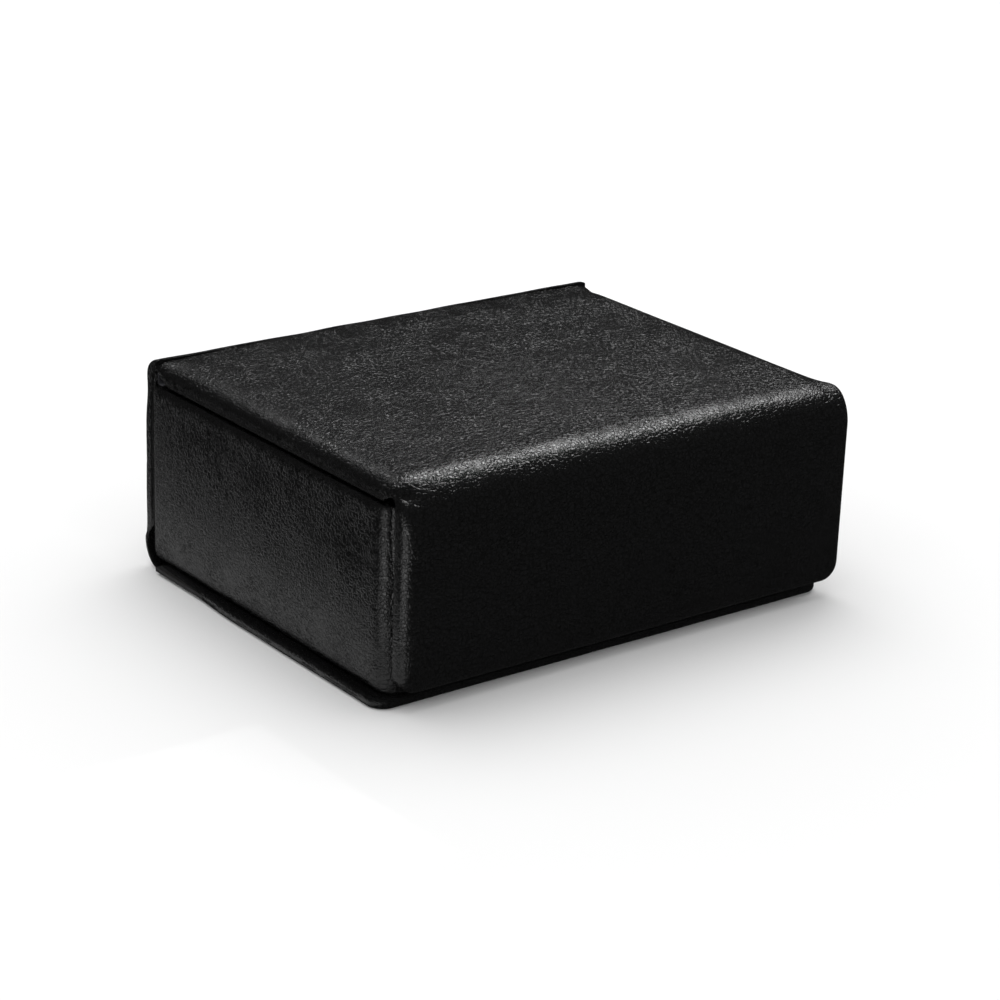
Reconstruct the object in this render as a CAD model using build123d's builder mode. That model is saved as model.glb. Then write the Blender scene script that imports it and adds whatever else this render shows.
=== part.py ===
from build123d import *
import math
import os

# Leather jewelry box of the book kind: one strip of leather runs under the base, up the spine,
# over the padded lid and down the padded front flap, with stiff board in each panel. A padded,
# suede-lined tray with ring rolls and an open compartment stands on the base.
# Millimetres. X runs left to right, the flap faces -Y, +Z is up, and the origin lies on the
# floor under the middle of the closed box.

os.makedirs("parts", exist_ok=True)

# Overall sizes
lid_width = 100.0            # lid, flap and spine, left to right
base_extra = 1.0             # the base plate is this much wider than the lid
box_depth = 82.0             # flap face to spine face
box_height = 40.8            # floor to the top of the lid
lid_offset = 2.2             # the lid sits this far to the right of the base and tray

# Sheet materials
leather = 0.6                # nappa of the wrap and the tray
suede = 0.8                  # lining of the tray and the lid
base_board_thickness = 0.8
wall_board_thickness = 2.0   # tray walls and spine
floor_board_thickness = 1.5
lid_board_thickness = 2.0
lid_foam_thickness = 1.4
flap_board_thickness = 2.0
flap_foam_thickness = 0.5
flap_lining_thickness = 0.5
wall_foam_thickness = 1.0
floor_pad_thickness = 1.5

# Bends of the wrap, measured on its outer face
fold_radius = 7.0            # lid to flap
base_bend_radius = 6.0       # base to spine

# Edges and margins
base_corner_radius = 3.5     # front corners of the base plate, seen from above
base_edge_round = 0.9        # rolled edge of the base plate
lid_edge_radius = 3.0        # padded side edges of the lid
flap_corner_radius = 3.8     # lower corners of the flap
flap_edge_round = 1.3        # rolled edge around the flap
lining_corner_radius = 2.0   # corners of the flap's lining
wall_edge_round = 1.2        # padded edge around the tray's side panels
tray_corner_radius = 4.0     # tray's front corners, seen from above
board_corner_radius = 3.0    # the same corners of the boards under the leather
base_lip = 2.0               # base plate standing out beyond the tray's sides
base_front_setback = 3.3     # base plate's front edge behind the flap face
turn_in = 9.0                # width of leather turned in over the boards
panel_lift = 0.1             # side panels' lower edge above the base plate

# Clearances between the pieces that move
lid_gap = 0.3                # lid above the tray
flap_gap = 0.3               # flap in front of the tray
flap_floor_gap = 0.9         # flap's lower edge above the base plate
hinge_gap = 0.4              # lid's rear edge in front of the spine board
board_setback = 4.5          # lid board's rear edge in front of the lid's rear edge
pad_gap = 0.3                # around the ring rolls

# Inside the tray
ring_section_width = 50.0
divider_board_thickness = 1.5
divider_height = 21.0
roll_count = 5
roll_height = 18.0
roll_round = 4.5
cover_thickness = 0.5        # thin suede over the divider and the ring rolls

# Closure: magnets in the front wall pull on steel plates in the flap
magnet_radius = 5.0
magnet_thickness = 1.4
plate_radius = 6.0
plate_thickness = 1.0
magnet_spacing = 56.0
magnet_height = 16.0         # magnets' centre above the floor

# Where the panels stand
base_width = lid_width + base_extra
base_x = (base_width - lid_width) / 4 - lid_offset / 2
lid_x = base_x + lid_offset
front_y = -box_depth / 2
back_y = box_depth / 2
base_thickness = 2 * leather + base_board_thickness
lid_thickness = leather + lid_foam_thickness + lid_board_thickness + suede
flap_thickness = leather + flap_foam_thickness + flap_board_thickness + flap_lining_thickness
spine_thickness = leather + wall_board_thickness
rear_radius = spine_thickness + hinge_gap
tray_top = box_height - lid_thickness - lid_gap
tray_width = base_width - 2 * base_lip
tray_front = front_y + flap_thickness + flap_gap
tray_back = back_y - spine_thickness
tray_depth = tray_back - tray_front
tray_mid_y = (tray_front + tray_back) / 2
board_top = tray_top - leather
board_height = board_top - base_thickness
floor_top = base_thickness + floor_board_thickness
pad_top = floor_top + floor_pad_thickness
side_stack = leather + wall_foam_thickness + wall_board_thickness + suede
front_stack = leather + wall_board_thickness + suede
back_stack = wall_board_thickness + suede
inner_left = base_x - tray_width / 2 + side_stack
inner_right = base_x + tray_width / 2 - side_stack
inner_front = tray_front + front_stack
inner_back = tray_back - back_stack
inner_depth = inner_back - inner_front
inner_mid_y = (inner_front + inner_back) / 2
lid_front = front_y + fold_radius
lid_back = back_y - rear_radius
lid_depth = lid_back - lid_front
lid_mid_y = (lid_front + lid_back) / 2
lid_bottom = box_height - lid_thickness
flap_top = box_height - fold_radius
flap_bottom = base_thickness + flap_floor_gap
flap_height = flap_top - flap_bottom
flap_mid_z = (flap_top + flap_bottom) / 2
spine_top = box_height - rear_radius
spine_height = spine_top - base_bend_radius


def profile_plane(x):
    """Plane seen from the right at x, on which a profile is drawn in (y, z)."""
    return Plane.YZ.offset(x)


def front_plane(y):
    """Plane facing -Y at y, on which an outline is drawn in (x, z) and extruded towards -Y."""
    return Plane.XZ.offset(-y)


# Base plate: grey board with leather around its underside and three edges, turned in on top

base_front = front_y + base_front_setback
base_back = back_y - base_bend_radius
base_depth = base_back - base_front
base_mid_y = (base_front + base_back) / 2

with BuildPart() as base_board:
    with BuildSketch(Plane.XY.offset(leather)):
        with Locations((base_x, base_mid_y + leather / 2)):
            Rectangle(base_width - 2 * leather, base_depth - leather)
    extrude(amount=base_board_thickness)
    fillet(base_board.edges().filter_by(Axis.Z).group_by(Axis.Y)[0], base_corner_radius - leather)
base_board.part.label = "base_board"
export_step(base_board.part, "parts/base_board.step")

with BuildPart() as base_lining:
    with BuildSketch(Plane.XY.offset(base_thickness - leather)):
        with Locations((base_x, base_mid_y + leather / 2)):
            Rectangle(base_width - 2 * leather - 2 * turn_in, base_depth - leather - 2 * turn_in)
    extrude(amount=leather)
base_lining.part.label = "base_lining"
export_step(base_lining.part, "parts/base_lining.step")

with BuildPart() as base_leather:
    with BuildSketch():
        with Locations((base_x, base_mid_y)):
            Rectangle(base_width, base_depth)
    extrude(amount=base_thickness)
    fillet(base_leather.edges().filter_by(Axis.Z).group_by(Axis.Y)[0], base_corner_radius)
    rim_edges = base_leather.faces().sort_by(Axis.Z)[-1].edges()
    rim_edges += base_leather.faces().sort_by(Axis.Z)[0].edges()
    rear_edges = base_leather.faces().sort_by(Axis.Y)[-1].edges()
    fillet(rim_edges - rear_edges, base_edge_round)
    add(base_board.part, mode=Mode.SUBTRACT)
    add(base_lining.part, mode=Mode.SUBTRACT)
base_leather.part.label = "base_leather"
export_step(base_leather.part, "parts/base_leather.step")


# Spine: board behind the tray, its leather, and the bends that join it to the base and the lid

with BuildPart() as spine_board:
    with BuildSketch(Plane.XY.offset(base_bend_radius)):
        with Locations((lid_x, tray_back + wall_board_thickness / 2)):
            Rectangle(lid_width - 2 * leather, wall_board_thickness)
    extrude(amount=spine_height)
spine_board.part.label = "spine_board"
export_step(spine_board.part, "parts/spine_board.step")

with BuildPart() as spine_leather:
    with BuildSketch(Plane.XY.offset(base_bend_radius)):
        with Locations((lid_x, back_y - spine_thickness / 2)):
            Rectangle(lid_width, spine_thickness)
    extrude(amount=spine_height)
    fillet(spine_leather.edges().filter_by(Axis.Z).group_by(Axis.Y)[-1], leather)
    add(spine_board.part, mode=Mode.SUBTRACT)
spine_leather.part.label = "spine_leather"
export_step(spine_leather.part, "parts/spine_leather.step")


def bend_sketch(centre, radius, thickness, start_angle):
    """Quarter ring of the given outer radius and thickness, drawn in (y, z) round its centre."""
    with BuildSketch(profile_plane(lid_x - lid_width / 2)) as ring:
        with BuildLine():
            CenterArc(centre, radius, start_angle, 90)
            CenterArc(centre, radius - thickness, start_angle, 90)
            for angle in (start_angle, start_angle + 90):
                ray = (math.cos(math.radians(angle)), math.sin(math.radians(angle)))
                inner = (centre[0] + (radius - thickness) * ray[0], centre[1] + (radius - thickness) * ray[1])
                outer = (centre[0] + radius * ray[0], centre[1] + radius * ray[1])
                Line(inner, outer)
        make_face()
    return ring.sketch


with BuildPart() as base_bend_leather:
    extrude(bend_sketch((base_back, base_bend_radius), base_bend_radius, leather, -90), amount=lid_width)
base_bend_leather.part.label = "base_bend_leather"
export_step(base_bend_leather.part, "parts/base_bend_leather.step")

with BuildPart() as rear_hinge_leather:
    extrude(bend_sketch((lid_back, spine_top), rear_radius, leather, 0), amount=lid_width)
rear_hinge_leather.part.label = "rear_hinge_leather"
export_step(rear_hinge_leather.part, "parts/rear_hinge_leather.step")

with BuildPart() as rear_hinge_lining:
    with BuildSketch(Plane.XY.offset(tray_top)):
        with Locations((base_x, (tray_back - wall_board_thickness + lid_back) / 2)):
            Rectangle(tray_width - 2 * side_stack, lid_back - tray_back + wall_board_thickness)
    extrude(amount=lid_gap)
rear_hinge_lining.part.label = "rear_hinge_lining"
export_step(rear_hinge_lining.part, "parts/rear_hinge_lining.step")


# Tray: a floor and four walls of board, padded leather on the sides, plain leather in front


def tray_block(side_inset, front_inset, corner_radius):
    """Upright block over the tray's footprint, with rounded front corners, to trim its walls by."""
    with BuildPart() as block:
        with BuildSketch() as outline:
            with Locations((base_x, (tray_front + front_inset + tray_back) / 2)):
                Rectangle(tray_width - 2 * side_inset, tray_depth - front_inset)
            fillet(outline.vertices().group_by(Axis.Y)[0], corner_radius)
        extrude(amount=tray_top)
    return block.part


leather_block = tray_block(0, 0, tray_corner_radius)
foam_block = tray_block(leather, leather, tray_corner_radius - leather)
board_block = tray_block(leather + wall_foam_thickness, leather, board_corner_radius)

side_board_x = tray_width / 2 - leather - wall_foam_thickness - wall_board_thickness / 2
side_foam_x = tray_width / 2 - leather - wall_foam_thickness / 2
side_leather_x = tray_width / 2 - (leather + wall_foam_thickness) / 2
side_lining_x = tray_width / 2 - side_stack + suede / 2
span_between_sides = tray_width - 2 * (side_stack - suede)
panel_bottom = base_thickness + panel_lift

with BuildPart() as tray_floor_board:
    with BuildSketch(Plane.XY.offset(base_thickness)):
        with Locations((base_x, (tray_front + leather + tray_back) / 2)):
            Rectangle(span_between_sides, tray_depth - leather - 2 * wall_board_thickness)
    extrude(amount=floor_board_thickness)
tray_floor_board.part.label = "tray_floor_board"
export_step(tray_floor_board.part, "parts/tray_floor_board.step")

for side, sign in (("left", -1), ("right", 1)):
    with BuildPart() as side_board:
        with BuildSketch(Plane.XY.offset(base_thickness)):
            with Locations((base_x + sign * side_board_x, (tray_front + leather + tray_back) / 2)):
                Rectangle(wall_board_thickness, tray_depth - leather)
        extrude(amount=board_height)
        add(board_block, mode=Mode.INTERSECT)
    side_board.part.label = f"{side}_wall_board"
    export_step(side_board.part, f"parts/{side}_wall_board.step")

    with BuildPart() as side_foam:
        with BuildSketch(Plane.XY.offset(panel_bottom + leather)):
            with Locations((base_x + sign * side_foam_x, tray_mid_y)):
                Rectangle(wall_foam_thickness, tray_depth - 2 * leather)
        extrude(amount=tray_top - panel_bottom - 2 * leather)
        add(foam_block, mode=Mode.INTERSECT)
    side_foam.part.label = f"{side}_wall_foam"
    export_step(side_foam.part, f"parts/{side}_wall_foam.step")

    with BuildPart() as side_leather:
        with BuildSketch(Plane.XY.offset(panel_bottom)):
            with Locations((base_x + sign * side_leather_x, tray_mid_y)):
                Rectangle(leather + wall_foam_thickness, tray_depth)
        extrude(amount=tray_top - panel_bottom)
        outer_face = side_leather.faces().sort_by(Axis.X)[0 if sign < 0 else -1]
        fillet(outer_face.edges(), wall_edge_round)
        add(leather_block, mode=Mode.INTERSECT)
        add(side_foam.part, mode=Mode.SUBTRACT)
    side_leather.part.label = f"{side}_wall_leather"
    export_step(side_leather.part, f"parts/{side}_wall_leather.step")

    with BuildPart() as side_lining:
        with BuildSketch(Plane.XY.offset(floor_top)):
            with Locations((base_x + sign * side_lining_x, inner_mid_y)):
                Rectangle(suede, inner_depth)
        extrude(amount=board_top - floor_top)
    side_lining.part.label = f"{side}_lining"
    export_step(side_lining.part, f"parts/{side}_lining.step")

with BuildPart() as wall_magnets:
    with BuildSketch(front_plane(tray_front + leather + magnet_thickness)):
        with Locations((base_x - magnet_spacing / 2, magnet_height),
                       (base_x + magnet_spacing / 2, magnet_height)):
            Circle(magnet_radius)
    extrude(amount=magnet_thickness)
wall_magnets.part.label = "wall_magnets"
export_step(wall_magnets.part, "parts/wall_magnets.step")

with BuildPart() as front_wall_board:
    with BuildSketch(Plane.XY.offset(base_thickness)):
        with Locations((base_x, tray_front + leather + wall_board_thickness / 2)):
            Rectangle(span_between_sides, wall_board_thickness)
    extrude(amount=board_height)
    add(wall_magnets.part, mode=Mode.SUBTRACT)
front_wall_board.part.label = "front_wall_board"
export_step(front_wall_board.part, "parts/front_wall_board.step")

with BuildPart() as back_wall_board:
    with BuildSketch(Plane.XY.offset(base_thickness)):
        with Locations((base_x, tray_back - wall_board_thickness / 2)):
            Rectangle(span_between_sides, wall_board_thickness)
    extrude(amount=board_height)
back_wall_board.part.label = "back_wall_board"
export_step(back_wall_board.part, "parts/back_wall_board.step")

with BuildPart() as front_wall_leather:
    with BuildSketch(Plane.XY.offset(base_thickness)):
        with Locations((base_x, tray_front + leather / 2)):
            Rectangle(tray_width - 2 * (leather + wall_foam_thickness), leather)
    extrude(amount=board_height)
    add(leather_block, mode=Mode.INTERSECT)
    add(board_block, mode=Mode.SUBTRACT)
front_wall_leather.part.label = "front_wall_leather"
export_step(front_wall_leather.part, "parts/front_wall_leather.step")

for side, lining_y in (("front", inner_front - suede / 2), ("back", inner_back + suede / 2)):
    with BuildPart() as end_lining:
        with BuildSketch(Plane.XY.offset(floor_top)):
            with Locations((base_x, lining_y)):
                Rectangle(span_between_sides, suede)
        extrude(amount=board_top - floor_top)
    end_lining.part.label = f"{side}_lining"
    export_step(end_lining.part, f"parts/{side}_lining.step")

with BuildPart() as rim_leather:
    with BuildSketch(Plane.XY.offset(board_top)):
        with Locations((base_x, tray_mid_y)):
            Rectangle(tray_width - 2 * (leather + wall_foam_thickness), tray_depth)
        with Locations((base_x, inner_mid_y)):
            Rectangle(inner_right - inner_left, inner_depth, mode=Mode.SUBTRACT)
    extrude(amount=leather)
    add(leather_block, mode=Mode.INTERSECT)
rim_leather.part.label = "rim_leather"
export_step(rim_leather.part, "parts/rim_leather.step")


# Inside of the tray: floor pad, divider, and foam rolls that grip rings between them

with BuildPart() as floor_pad:
    with BuildSketch(Plane.XY.offset(floor_top)):
        with Locations((base_x, inner_mid_y)):
            Rectangle(inner_right - inner_left, inner_depth)
    extrude(amount=floor_pad_thickness)
floor_pad.part.label = "floor_pad"
export_step(floor_pad.part, "parts/floor_pad.step")

divider_thickness = divider_board_thickness + 2 * cover_thickness
divider_x = inner_left + ring_section_width + divider_thickness / 2

with BuildPart() as divider_board:
    with BuildSketch(Plane.XY.offset(pad_top)):
        with Locations((divider_x, inner_mid_y)):
            Rectangle(divider_board_thickness, inner_depth)
    extrude(amount=divider_height - cover_thickness)
divider_board.part.label = "divider_board"
export_step(divider_board.part, "parts/divider_board.step")

with BuildPart() as divider_cover:
    with BuildSketch(Plane.XY.offset(pad_top)):
        with Locations((divider_x, inner_mid_y)):
            Rectangle(divider_thickness, inner_depth)
    extrude(amount=divider_height)
    add(divider_board.part, mode=Mode.SUBTRACT)
divider_cover.part.label = "divider_cover"
export_step(divider_cover.part, "parts/divider_cover.step")

roll_pitch = inner_depth / roll_count
roll_depth = roll_pitch - 2 * pad_gap
roll_width = ring_section_width - 2 * pad_gap
roll_places = [inner_front + (index + 0.5) * roll_pitch for index in range(roll_count)]


def roll_outline(y, inset):
    """Upright profile of a ring roll with a rounded top, drawn in (y, z) and inset all round."""
    height = roll_height - 2 * inset
    with BuildSketch(profile_plane(inner_left + pad_gap + inset)) as outline:
        with Locations((y, pad_top + inset + height / 2)):
            Rectangle(roll_depth - 2 * inset, height)
        fillet(outline.vertices().group_by(Axis.Y)[-1], roll_round - inset)
    return outline.sketch


with BuildPart() as ring_roll_cores:
    for y in roll_places:
        extrude(roll_outline(y, cover_thickness), amount=roll_width - 2 * cover_thickness)
ring_roll_cores.part.label = "ring_roll_cores"
export_step(ring_roll_cores.part, "parts/ring_roll_cores.step")

with BuildPart() as ring_roll_covers:
    for y in roll_places:
        extrude(roll_outline(y, 0), amount=roll_width)
    add(ring_roll_cores.part, mode=Mode.SUBTRACT)
ring_roll_covers.part.label = "ring_roll_covers"
export_step(ring_roll_covers.part, "parts/ring_roll_covers.step")


# Lid: board and foam inside a leather wrap, with a suede lining set in underneath

lid_board_bottom = lid_bottom + suede
lid_foam_bottom = lid_board_bottom + lid_board_thickness

with BuildPart() as lid_board:
    with BuildSketch(Plane.XY.offset(lid_board_bottom)):
        with Locations((lid_x, lid_mid_y - board_setback / 2)):
            Rectangle(lid_width - 2 * leather, lid_depth - board_setback)
    extrude(amount=lid_board_thickness)
lid_board.part.label = "lid_board"
export_step(lid_board.part, "parts/lid_board.step")

with BuildPart() as lid_foam:
    with BuildSketch(Plane.XY.offset(lid_foam_bottom)):
        with Locations((lid_x, lid_mid_y)):
            Rectangle(lid_width - 4 * leather, lid_depth)
    extrude(amount=lid_foam_thickness)
    lid_foam_edges = lid_foam.faces().sort_by(Axis.Z)[-1].edges().filter_by(Axis.Y)
    fillet(lid_foam_edges, min(lid_edge_radius - leather, 0.9 * lid_foam_thickness))
    with BuildSketch(Plane.XY.offset(lid_board_bottom)):
        with Locations((lid_x, lid_back - board_setback / 2)):
            Rectangle(lid_width - 4 * leather, board_setback)
    extrude(amount=lid_board_thickness)
lid_foam.part.label = "lid_foam"
export_step(lid_foam.part, "parts/lid_foam.step")

with BuildPart() as lid_lining:
    with BuildSketch(Plane.XY.offset(lid_bottom)):
        with Locations((lid_x, lid_mid_y)):
            Rectangle(lid_width - 2 * turn_in, lid_depth)
    extrude(amount=suede)
lid_lining.part.label = "lid_lining"
export_step(lid_lining.part, "parts/lid_lining.step")

with BuildPart() as lid_leather:
    with BuildSketch(Plane.XY.offset(lid_bottom)):
        with Locations((lid_x, lid_mid_y)):
            Rectangle(lid_width, lid_depth)
    extrude(amount=lid_thickness)
    fillet(lid_leather.faces().sort_by(Axis.Z)[-1].edges().filter_by(Axis.Y), lid_edge_radius)
    add(lid_board.part, mode=Mode.SUBTRACT)
    add(lid_foam.part, mode=Mode.SUBTRACT)
    add(lid_lining.part, mode=Mode.SUBTRACT)
lid_leather.part.label = "lid_leather"
export_step(lid_leather.part, "parts/lid_leather.step")


# Fold between lid and flap: leather outside, thin foam, and a lining strip inside

fold_foam_thickness = lid_foam_thickness
fold_centre = (lid_front, flap_top)

with BuildPart() as fold_leather:
    extrude(bend_sketch(fold_centre, fold_radius, leather, 90), amount=lid_width)
fold_leather.part.label = "fold_leather"
export_step(fold_leather.part, "parts/fold_leather.step")

with BuildPart() as fold_foam:
    extrude(bend_sketch(fold_centre, fold_radius - leather, fold_foam_thickness, 90), amount=lid_width)
fold_foam.part.label = "fold_foam"
export_step(fold_foam.part, "parts/fold_foam.step")

lining_radius = fold_radius - leather - fold_foam_thickness

with BuildPart() as fold_lining:
    extrude(bend_sketch(fold_centre, lining_radius, flap_lining_thickness, 90), amount=lid_width)
fold_lining.part.label = "fold_lining"
export_step(fold_lining.part, "parts/fold_lining.step")


# Flap: the padded front panel, with steel plates under its lining

plate_y = front_y + flap_thickness - flap_lining_thickness
flap_board_y = front_y + leather + flap_foam_thickness

with BuildPart() as flap_plates:
    with BuildSketch(front_plane(plate_y)):
        with Locations((base_x - magnet_spacing / 2, magnet_height),
                       (base_x + magnet_spacing / 2, magnet_height)):
            Circle(plate_radius)
    extrude(amount=plate_thickness)
flap_plates.part.label = "flap_plates"
export_step(flap_plates.part, "parts/flap_plates.step")


def flap_panel(back_face_y, inset, thickness, corner_radius):
    """Flap-shaped panel with rounded lower corners, from its back face towards -Y."""
    with BuildPart() as panel:
        with BuildSketch(front_plane(back_face_y)) as outline:
            with Locations((lid_x, flap_mid_z + inset / 2)):
                Rectangle(lid_width - 2 * inset, flap_height - inset)
            fillet(outline.vertices().group_by(Axis.Y)[0], corner_radius)
        extrude(amount=thickness)
    return panel.part


board_corner = flap_corner_radius - leather
foam_inset = leather + flap_foam_thickness
foam_corner = flap_corner_radius - foam_inset
flap_back_y = front_y + flap_thickness

flap_board_blank = flap_panel(plate_y, leather, flap_board_thickness, board_corner)
flap_foam_blank = flap_panel(flap_board_y, foam_inset, flap_foam_thickness, foam_corner)
flap_lining_blank = flap_panel(flap_back_y, turn_in, flap_lining_thickness, lining_corner_radius)
flap_leather_blank = flap_panel(flap_back_y, 0, flap_thickness, flap_corner_radius)

with BuildPart() as flap_board:
    add(flap_board_blank)
    add(flap_plates.part, mode=Mode.SUBTRACT)
flap_board.part.label = "flap_board"
export_step(flap_board.part, "parts/flap_board.step")

with BuildPart() as flap_foam:
    add(flap_foam_blank)
flap_foam.part.label = "flap_foam"
export_step(flap_foam.part, "parts/flap_foam.step")

with BuildPart() as flap_lining:
    add(flap_lining_blank)
flap_lining.part.label = "flap_lining"
export_step(flap_lining.part, "parts/flap_lining.step")

with BuildPart() as flap_leather:
    add(flap_leather_blank)
    flap_rim = flap_leather.faces().sort_by(Axis.Y)[0].edges()
    fillet(flap_rim - flap_leather.faces().sort_by(Axis.Z)[-1].edges(), flap_edge_round)
    add(flap_board_blank, mode=Mode.SUBTRACT)
    add(flap_foam_blank, mode=Mode.SUBTRACT)
    add(flap_lining_blank, mode=Mode.SUBTRACT)
flap_leather.part.label = "flap_leather"
export_step(flap_leather.part, "parts/flap_leather.step")
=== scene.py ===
import math

import bpy
import numpy as np
from mathutils import Matrix, Vector


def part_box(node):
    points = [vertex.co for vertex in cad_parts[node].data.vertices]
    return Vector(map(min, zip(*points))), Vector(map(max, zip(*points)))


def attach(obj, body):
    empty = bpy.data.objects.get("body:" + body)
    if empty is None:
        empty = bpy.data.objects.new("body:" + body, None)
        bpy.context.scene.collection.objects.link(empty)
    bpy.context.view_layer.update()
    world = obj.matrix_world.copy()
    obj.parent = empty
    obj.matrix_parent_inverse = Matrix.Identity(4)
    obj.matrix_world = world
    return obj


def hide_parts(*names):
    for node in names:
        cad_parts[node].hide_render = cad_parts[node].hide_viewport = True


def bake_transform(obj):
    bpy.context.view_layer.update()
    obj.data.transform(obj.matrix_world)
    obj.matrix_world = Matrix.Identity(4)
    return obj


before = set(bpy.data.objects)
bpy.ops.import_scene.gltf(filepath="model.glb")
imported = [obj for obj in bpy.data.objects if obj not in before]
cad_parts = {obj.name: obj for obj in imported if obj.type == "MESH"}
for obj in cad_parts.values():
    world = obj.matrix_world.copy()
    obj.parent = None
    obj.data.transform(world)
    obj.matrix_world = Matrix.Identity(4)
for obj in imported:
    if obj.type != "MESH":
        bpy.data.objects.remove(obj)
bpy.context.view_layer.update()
MM = 0.001


# ---- Base and spine leather ----------------------------------------------------------------
# One strip of black nappa starts at the base plate's front edge, wraps the plate, bends up
# behind it and covers the spine board. Its edges are turned in over the board.

def straight(start, end, step=0.1 * MM):
    """Evenly spaced points from start towards end, without end itself."""
    count = max(2, round(math.dist(start, end) / step))
    return np.add(start, np.arange(count)[:, None] / count * np.subtract(end, start))


def bend(centre, radius, first, last, step=0.1 * MM):
    """Evenly spaced points on an arc from the angle first towards last, in degrees from the
    first axis towards the second, without the last point."""
    count = max(2, round(abs(math.radians(last - first)) * radius / step))
    angle = np.radians(first + (last - first) * np.arange(count) / count)
    return np.add(centre, radius * np.stack([np.cos(angle), np.sin(angle)], -1))


def soften(route, width):
    """The route with its curvature eased: each point is a Gaussian mean of its neighbours."""
    reach = 3 * width
    weight = np.exp(-0.5 * (np.arange(-reach, reach + 1) / width) ** 2)
    weight /= weight.sum()
    before = 2 * route[0] - route[reach:0:-1]
    after = 2 * route[-1] - route[-2:-reach - 2:-1]
    padded = np.vstack([before, route, after])
    return np.stack([np.convolve(padded[:, axis], weight, "valid") for axis in (0, 1)], -1)


def route_length(route):
    """Distance along a route at each of its points."""
    return np.concatenate([[0], np.cumsum(np.linalg.norm(np.diff(route, axis=0), axis=1))])


def stations(total, step, first_roll=0.0, last_roll=0.0):
    """Distances from 0 to total about a step apart, and closer together over a rolled end."""
    turn = 1 - np.cos(np.linspace(0, np.pi / 2, 13))
    count = round((total - first_roll - last_roll) / step)
    middle = np.linspace(first_roll, total - last_roll, count + 1)
    first = first_roll * turn[:-1] if first_roll else []
    last = total - last_roll * turn[-2::-1] if last_roll else []
    return np.concatenate([first, middle, last])


def follow(route, places, reach=0.15 * MM):
    """Points of a flat route at the given distances along it, and its left-hand normals there."""
    length = route_length(route)
    near = [np.clip(places + shift, 0, length[-1]) for shift in (-reach, 0, reach)]
    behind, here, ahead = (
        np.stack([np.interp(place, length, route[:, axis]) for axis in (0, 1)], -1)
        for place in near)
    heading = ahead - behind
    heading /= np.linalg.norm(heading, axis=1)[:, None]
    return here, np.stack([-heading[:, 1], heading[:, 0]], -1)


def rolled(share, power=2.3):
    """Edge profile: 1 at the edge, where share is 0, and along a rounded quarter to 0 at 1."""
    return 1 - (1 - (1 - np.clip(share, 0, 1)) ** power) ** (1 / power)


def ease(value, low, high):
    """0 up to low, 1 from high on, and a smooth cubic rise between. low may exceed high."""
    share = np.clip((value - low) / (high - low), 0, 1)
    return share * share * (3 - 2 * share)


def bell(value, centre, width):
    """1 at the centre, falling off as a Gaussian of that width."""
    return np.exp(-((value - centre) / width) ** 2)


def section_loops(places, low, high, thickness, roll, drop, curl, columns=90, corners=(0, 0),
                  relief=None):
    """Closed cross-sections of a padded strip as (side, depth), one row for each place along it.
    The outer face runs from low to high and sinks by drop over the width roll at its edges. The
    inner face lies at the depth thickness and rises by curl at its edges. An end with a corner
    radius is rounded and rolled like the edges. relief(place, side, inset) lifts the outer face,
    where inset is the distance from the strip's outline."""
    low, high, thickness, roll, drop, curl = (
        np.asarray(value, float).reshape(-1, 1) for value in (low, high, thickness, roll, drop, curl))
    near_first = places < places[-1] / 2
    radius = np.where(near_first, corners[0], corners[1])[:, None]
    gap = np.where(near_first, places, places[-1] - places)[:, None]
    beyond = np.maximum(radius - gap, 0)
    pull = radius - np.sqrt(np.maximum(radius ** 2 - beyond ** 2, 0))
    edge = roll * (1 - np.cos(np.linspace(0, np.pi / 2, 15)))
    start, stop = low + pull + roll, high - pull - roll
    middle = start + (stop - start) * np.linspace(0, 1, columns)[1:-1]
    side = np.hstack([low + pull + edge, middle, (high - pull - edge)[:, ::-1]])
    reach = np.minimum(side - low, high - side)
    corner_side, corner_along = radius - reach, radius - gap + 0 * reach
    outside = np.hypot(np.maximum(corner_side, 0), np.maximum(corner_along, 0))
    inside = np.minimum(np.maximum(corner_side, corner_along), 0)
    inset = np.maximum(np.where(radius > 0, radius - outside - inside, reach), 0)
    outer = drop * rolled(inset / roll)
    if relief is not None:
        outer = outer - relief(places[:, None], side, inset)
    inner = thickness - curl * rolled(inset / curl)
    band = np.linspace(0, 1, 6)[1:-1]
    rise_high = outer[:, -1:] + band * (inner[:, -1:] - outer[:, -1:])
    rise_low = inner[:, :1] + band * (outer[:, :1] - inner[:, :1])
    edge_high, edge_low = side[:, -1:] + 0 * rise_high, side[:, :1] + 0 * rise_low
    return (np.hstack([side, edge_high, side[:, ::-1], edge_low]),
            np.hstack([outer, rise_high, inner[:, ::-1], rise_low]))


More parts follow.
